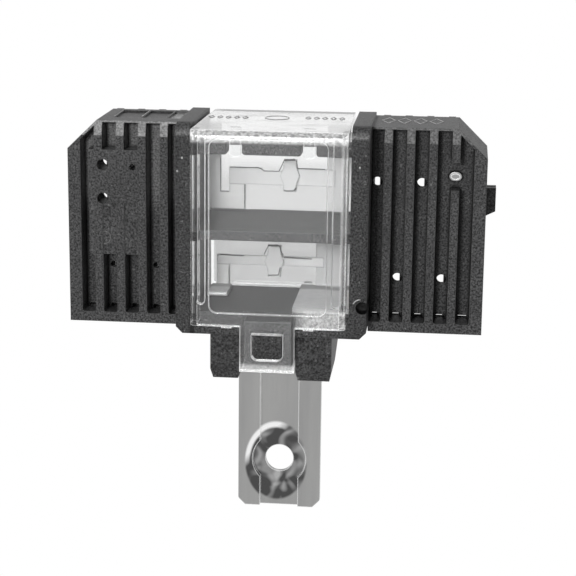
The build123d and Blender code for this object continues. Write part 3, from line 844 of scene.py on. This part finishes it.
# %% Rubbed marks
def painted_light_mark(name, tone):
    """A mark in that grey: pale for a painted highlight, dark for a painted shadow."""
    material, tree, shader = new_material(name)
    grain = place_group(tree, grain_group, Grain_Size=0.0004, Broad_Size=0.003)
    mottled = blend_colours(tree, grain["Mottle"], grey(tone * 0.55), grey(tone))
    tree.links.new(mottled, shader["Base Color"])
    tree.links.new(remap(tree, grain["Patches"], *EVEN_PATCHES, 0.35, 0.55), shader["Roughness"])
    tree.links.new(bump(tree, grain["Height"], 0.00003, 0.6), shader["Normal"])
    return material


# Pale greys that stand in for highlights on raised marks.
painted_light_bright = painted_light_mark("painted_light_bright", 0.75)
painted_light_dim = painted_light_mark("painted_light_dim", 0.2)
print("tones:", painted_light_bright.name, painted_light_dim.name)

# %% [markdown]
# An ejector pin pushes the part out of its mould and leaves a thin ring, here on the flat pad of the
# left wing. A curved nick stands above the mould hole of the right upright. Both follow what the
# photograph shows, at the height of the surface that carries them.

# %% Ejector ring and nick
UPRIGHT_FRONT = -18.7
PAD_FRONT = -13.3 + 0.25
NICK = ((14.9, 36.1), (15.3, 36.6), (15.8, 36.85), (16.2, 36.9))

# The ring's and the nick's pale tones are painted highlights.
bead("ejector_ring", oval((-31.4, PAD_FRONT, 45.6), (1.15, 1.15), "XZ"), 0.11, painted_light_dim)
bead("upright_nick", [(x, UPRIGHT_FRONT, z) for x, z in NICK], 0.10, painted_light_bright, False)
print("ring on the pad at y =", round(PAD_FRONT, 2), "mm")

# %% [markdown]
# Where the cover's plastic is thick it looks grey instead of clear. A grey bead along the foot of the rear
# wall shows that; it is tinted glass, so that it still lets the ground through. A pale bar over the window
# of the latch is a painted highlight along the window's edge.

# %% Beads along the cover
def grey_glass(name, tone):
    """Clear plastic seen through enough thickness to look grey."""
    material, tree, shader = new_material(name)
    grain = place_group(tree, grain_group, Grain_Size=0.0006, Broad_Size=0.004)
    uneven = blend_colours(tree, grain["Patches"], grey(tone * 0.75), grey(tone * 1.15))
    tree.links.new(uneven, shader["Base Color"])
    tree.links.new(remap(tree, grain["Mottle"], 0.0, 1.0, 0.05, 0.25), shader["Roughness"])
    tree.links.new(clear_in_shadow(tree, 0.9), shader["Alpha"])
    shader["Transmission Weight"].default_value = 1.0
    shader["IOR"].default_value = 1.5
    return material


# A pale bar: a painted highlight along the edge of the latch's window.
painted_shine = painted_light_mark("painted_shine_edge", 0.95)
tinted = grey_glass("rear_tint", 0.6)
bead("window_bar", [(x, -24.35, 31.35) for x in (-2.6, 2.6)], 0.26, painted_shine, False)
bead("rear_foot_bead", [(x, 2.6, 34.1) for x in (-13.0, 13.0)], 0.36, tinted, False)
print("cover beads:", painted_shine.name, tinted.name)

# %% [markdown]
# A thin web runs along the bottom of each wing, and its lower edge is rounded. On top of the left wing
# two narrow bars part the panels, and their crests carry a painted highlight. Rounding these in the CAD
# model would add many small faces, while a bead on each edge gives the roundness and its line of light.

# %% Beads along the wings
WING_TOP = 67.2
BAR_ENDS = (-7.6, 1.0)
black = finishes["housing"]

for side, ends in (("left", (-37.0, -17.4)), ("right", (17.4, 37.0))):
    bead(f"{side}_web_bead", [(x, -7.2, 31.58) for x in ends], 0.13, black, False)
for name, x, thickness in (("panel_bar_bead", -25.4, 0.09), ("panel_end_bead", -30.4, 0.07)):
    bead(name, [(x, y, WING_TOP) for y in BAR_ENDS], thickness, painted_light_bright, False)
print("wing beads: 4")

# %% [markdown]
# The molten plastic entered the cover's mould in the middle of its top and left an oval ring there. Three
# tiny pips on the uprights catch the light, and their pale tone is a painted highlight. They are the
# smallest things in view, so eight points are enough for each.

# %% Gate ring and pips
COVER_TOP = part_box("clear_cover")[1][2] / MM
PIPS = ((15.6, 60.8), (-16.05, 61.7), (-16.9, 59.3))
stroke = grey_glass("cover_stroke", 0.35)

bead("cover_gate_ring", oval((-0.4, -6.5, COVER_TOP), (2.2, 2.4), "XY"), 0.10, stroke)
for index, (x, z) in enumerate(PIPS):
    points = oval((x, UPRIGHT_FRONT, z), (0.08, 0.12), "XZ", steps=8)
    bead(f"upright_pip_{index}", points, 0.10, painted_light_bright)
print("cover's top at", round(COVER_TOP, 2), "mm,", len(PIPS), "pips")

# %% [markdown]
# The real block has raised characters on the cover and on the right wing. This one carries none: a row
# of blank diamonds stands in each place, raised and spaced in the same way. Lines of a bead suit them
# better than solid diamonds, because the strokes of moulded characters are just as thin.

# %% Blank marks
MARKS_PER_SIDE, COVER_MARK_PITCH = 5, 1.55
WING_MARKS, WING_MARK_PITCH = 4, 2.9

for index in range(MARKS_PER_SIDE):
    for side, x, y in (("left", -12.4, -7.0), ("right", 5.2, -5.6)):
        points = oval((x + COVER_MARK_PITCH * index, y, COVER_TOP), (0.50, 1.5), "XY", steps=4)
        bead(f"cover_mark_{side}_{index}", points, 0.10, stroke)
# The wing's diamonds are pale with painted highlight.
for index in range(WING_MARKS):
    points = oval((19.9 + WING_MARK_PITCH * index, -4.0, WING_TOP), (1.2, 3.4), "XY", steps=4)
    bead(f"wing_mark_{index}", points, 0.12, painted_light_bright)
print("blank marks:", 2 * MARKS_PER_SIDE + WING_MARKS)

# %% [markdown]
# ## The riser's foot
#
# The main busbar's left riser stands on a short flat foot that is bent forward over the moulded floor.
# Only its pale rounded end shows well through the cover. A box would have hard edges, so the foot is a
# rounded side profile, drawn as a ring of points and pushed out sideways with bmesh.

# %% Riser's foot
ROUND_STEPS = 8
SOFT_EDGE = 0.12 * MM


def foot_profile(back, front, low, high):
    """The side view of a flat plate with a rounded front end."""
    radius = (high - low) / 2
    turn = [math.radians(90.0 + 180.0 * step / ROUND_STEPS) for step in range(ROUND_STEPS + 1)]
    nose = [(front + radius + radius * math.cos(a), low + radius + radius * math.sin(a)) for a in turn]
    return [(back, high)] + nose + [(back, low)]


def plate_end(name, left, right, profile, material):
    """A plate with that side profile, between two sides, all in millimetres."""
    shape = bmesh.new()
    ends = [[shape.verts.new((x * MM, y * MM, z * MM)) for y, z in profile] for x in (left, right)]
    shape.faces.new(ends[0])
    shape.faces.new(list(reversed(ends[1])))
    for index in range(len(profile)):
        after = (index + 1) % len(profile)
        shape.faces.new((ends[0][index], ends[1][index], ends[1][after], ends[0][after]))
    bmesh.ops.recalc_face_normals(shape, faces=shape.faces)
    mesh = bpy.data.meshes.new(name)
    shape.to_mesh(mesh)
    shape.free()
    mesh.materials.append(material)
    piece = bpy.data.objects.new(name, mesh)
    bpy.context.collection.objects.link(piece)
    soften = piece.modifiers.new("soften", "BEVEL")
    soften.width, soften.segments, soften.limit_method = SOFT_EDGE, 2, "ANGLE"
    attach(piece, "root")
    return piece


# The foot's top is paler than its front: painted light.
tin_foot = tin_plate("tin_foot", 0.50, 0.55, foot=(0.80, 0.72))
riser_foot = plate_end("riser_foot", -13.2, -9.4, foot_profile(-0.5, -7.3, 33.8, 34.7), tin_foot)
print("riser's foot:", [round(c / MM, 1) for c in riser_foot.dimensions], "mm")

# %% [markdown]
# ## Painted shadow lines
#
# A thin dark line of painted shadow follows the edges where the links are laid into the busbars and where
# the tin slugs grip them. Painting it in the metal's own material would need a mask for every edge, so each
# line is a very thin bead instead, pressed half into the metal. A row gives a line's name, its thickness,
# its depth and its points seen from the front. The lines on the sheets and those on the thicker slugs lie
# at different depths.

# %% Painted shadow lines
ON_SHEET, ON_SLUG = -0.55, -1.10
PAINTED_SHADOW_LINES = (
    ("slot_gap", 0.07, ON_SHEET, ((-11.64, 58.83), (-11.63, 52.63), (-10.09, 52.62))),
    ("upper_link_gap", 0.08, ON_SHEET, ((-9.92, 57.16), (-4.61, 57.28), (-3.86, 56.99), (-3.48, 56.68),
                                        (-0.64, 56.63), (-0.09, 57.73), (0.28, 58.69))),
    ("upper_pill_top", 0.16, ON_SLUG, ((0.43, 58.95), (2.49, 59.05))),
    ("upper_link_gap_right", 0.09, ON_SHEET, ((2.68, 58.85), (2.89, 57.34), (8.00, 57.26))),
    ("upper_pill_foot", 0.13, ON_SLUG, ((0.39, 53.22), (0.77, 53.06), (2.28, 53.16), (2.74, 53.73))),
    ("plate_gap", 0.07, ON_SHEET, ((-7.08, 54.01), (-7.05, 49.50))),
    ("lower_link_gap", 0.10, ON_SHEET, ((-11.69, 40.35), (-7.18, 40.19))),
    ("lower_pill_left", 0.08, ON_SLUG, ((-3.19, 40.76), (-2.91, 41.45), (-2.54, 42.24))),
    ("lower_pill_top", 0.16, ON_SLUG, ((-2.54, 42.53), (-0.45, 42.60))),
    ("lower_pill_right", 0.11, ON_SLUG, ((-0.25, 42.41), (0.00, 41.35), (0.43, 40.69))),
    ("lower_link_gap_right", 0.11, ON_SHEET, ((0.47, 40.14), (5.81, 40.05))),
    ("lower_pill_foot", 0.10, ON_SLUG, ((-2.49, 36.73), (-0.49, 36.84), (-0.12, 38.34))),
    ("dash_mark", 0.11, ON_SHEET, ((4.35, 35.48), (5.87, 35.53))),
    ("lower_plate_gap", 0.06, ON_SHEET, ((-9.99, 38.06), (-9.98, 33.94))),
)
painted_shadow = painted_light_mark("dark_painted_shadow", 0.035)
for name, thickness, depth, points in PAINTED_SHADOW_LINES:
    bead("painted_shadow_" + name, [(x, depth, z) for x, z in points], thickness, painted_shadow, False)
# The count is of the painted shadow lines.
print("flux lines:", len(PAINTED_SHADOW_LINES))
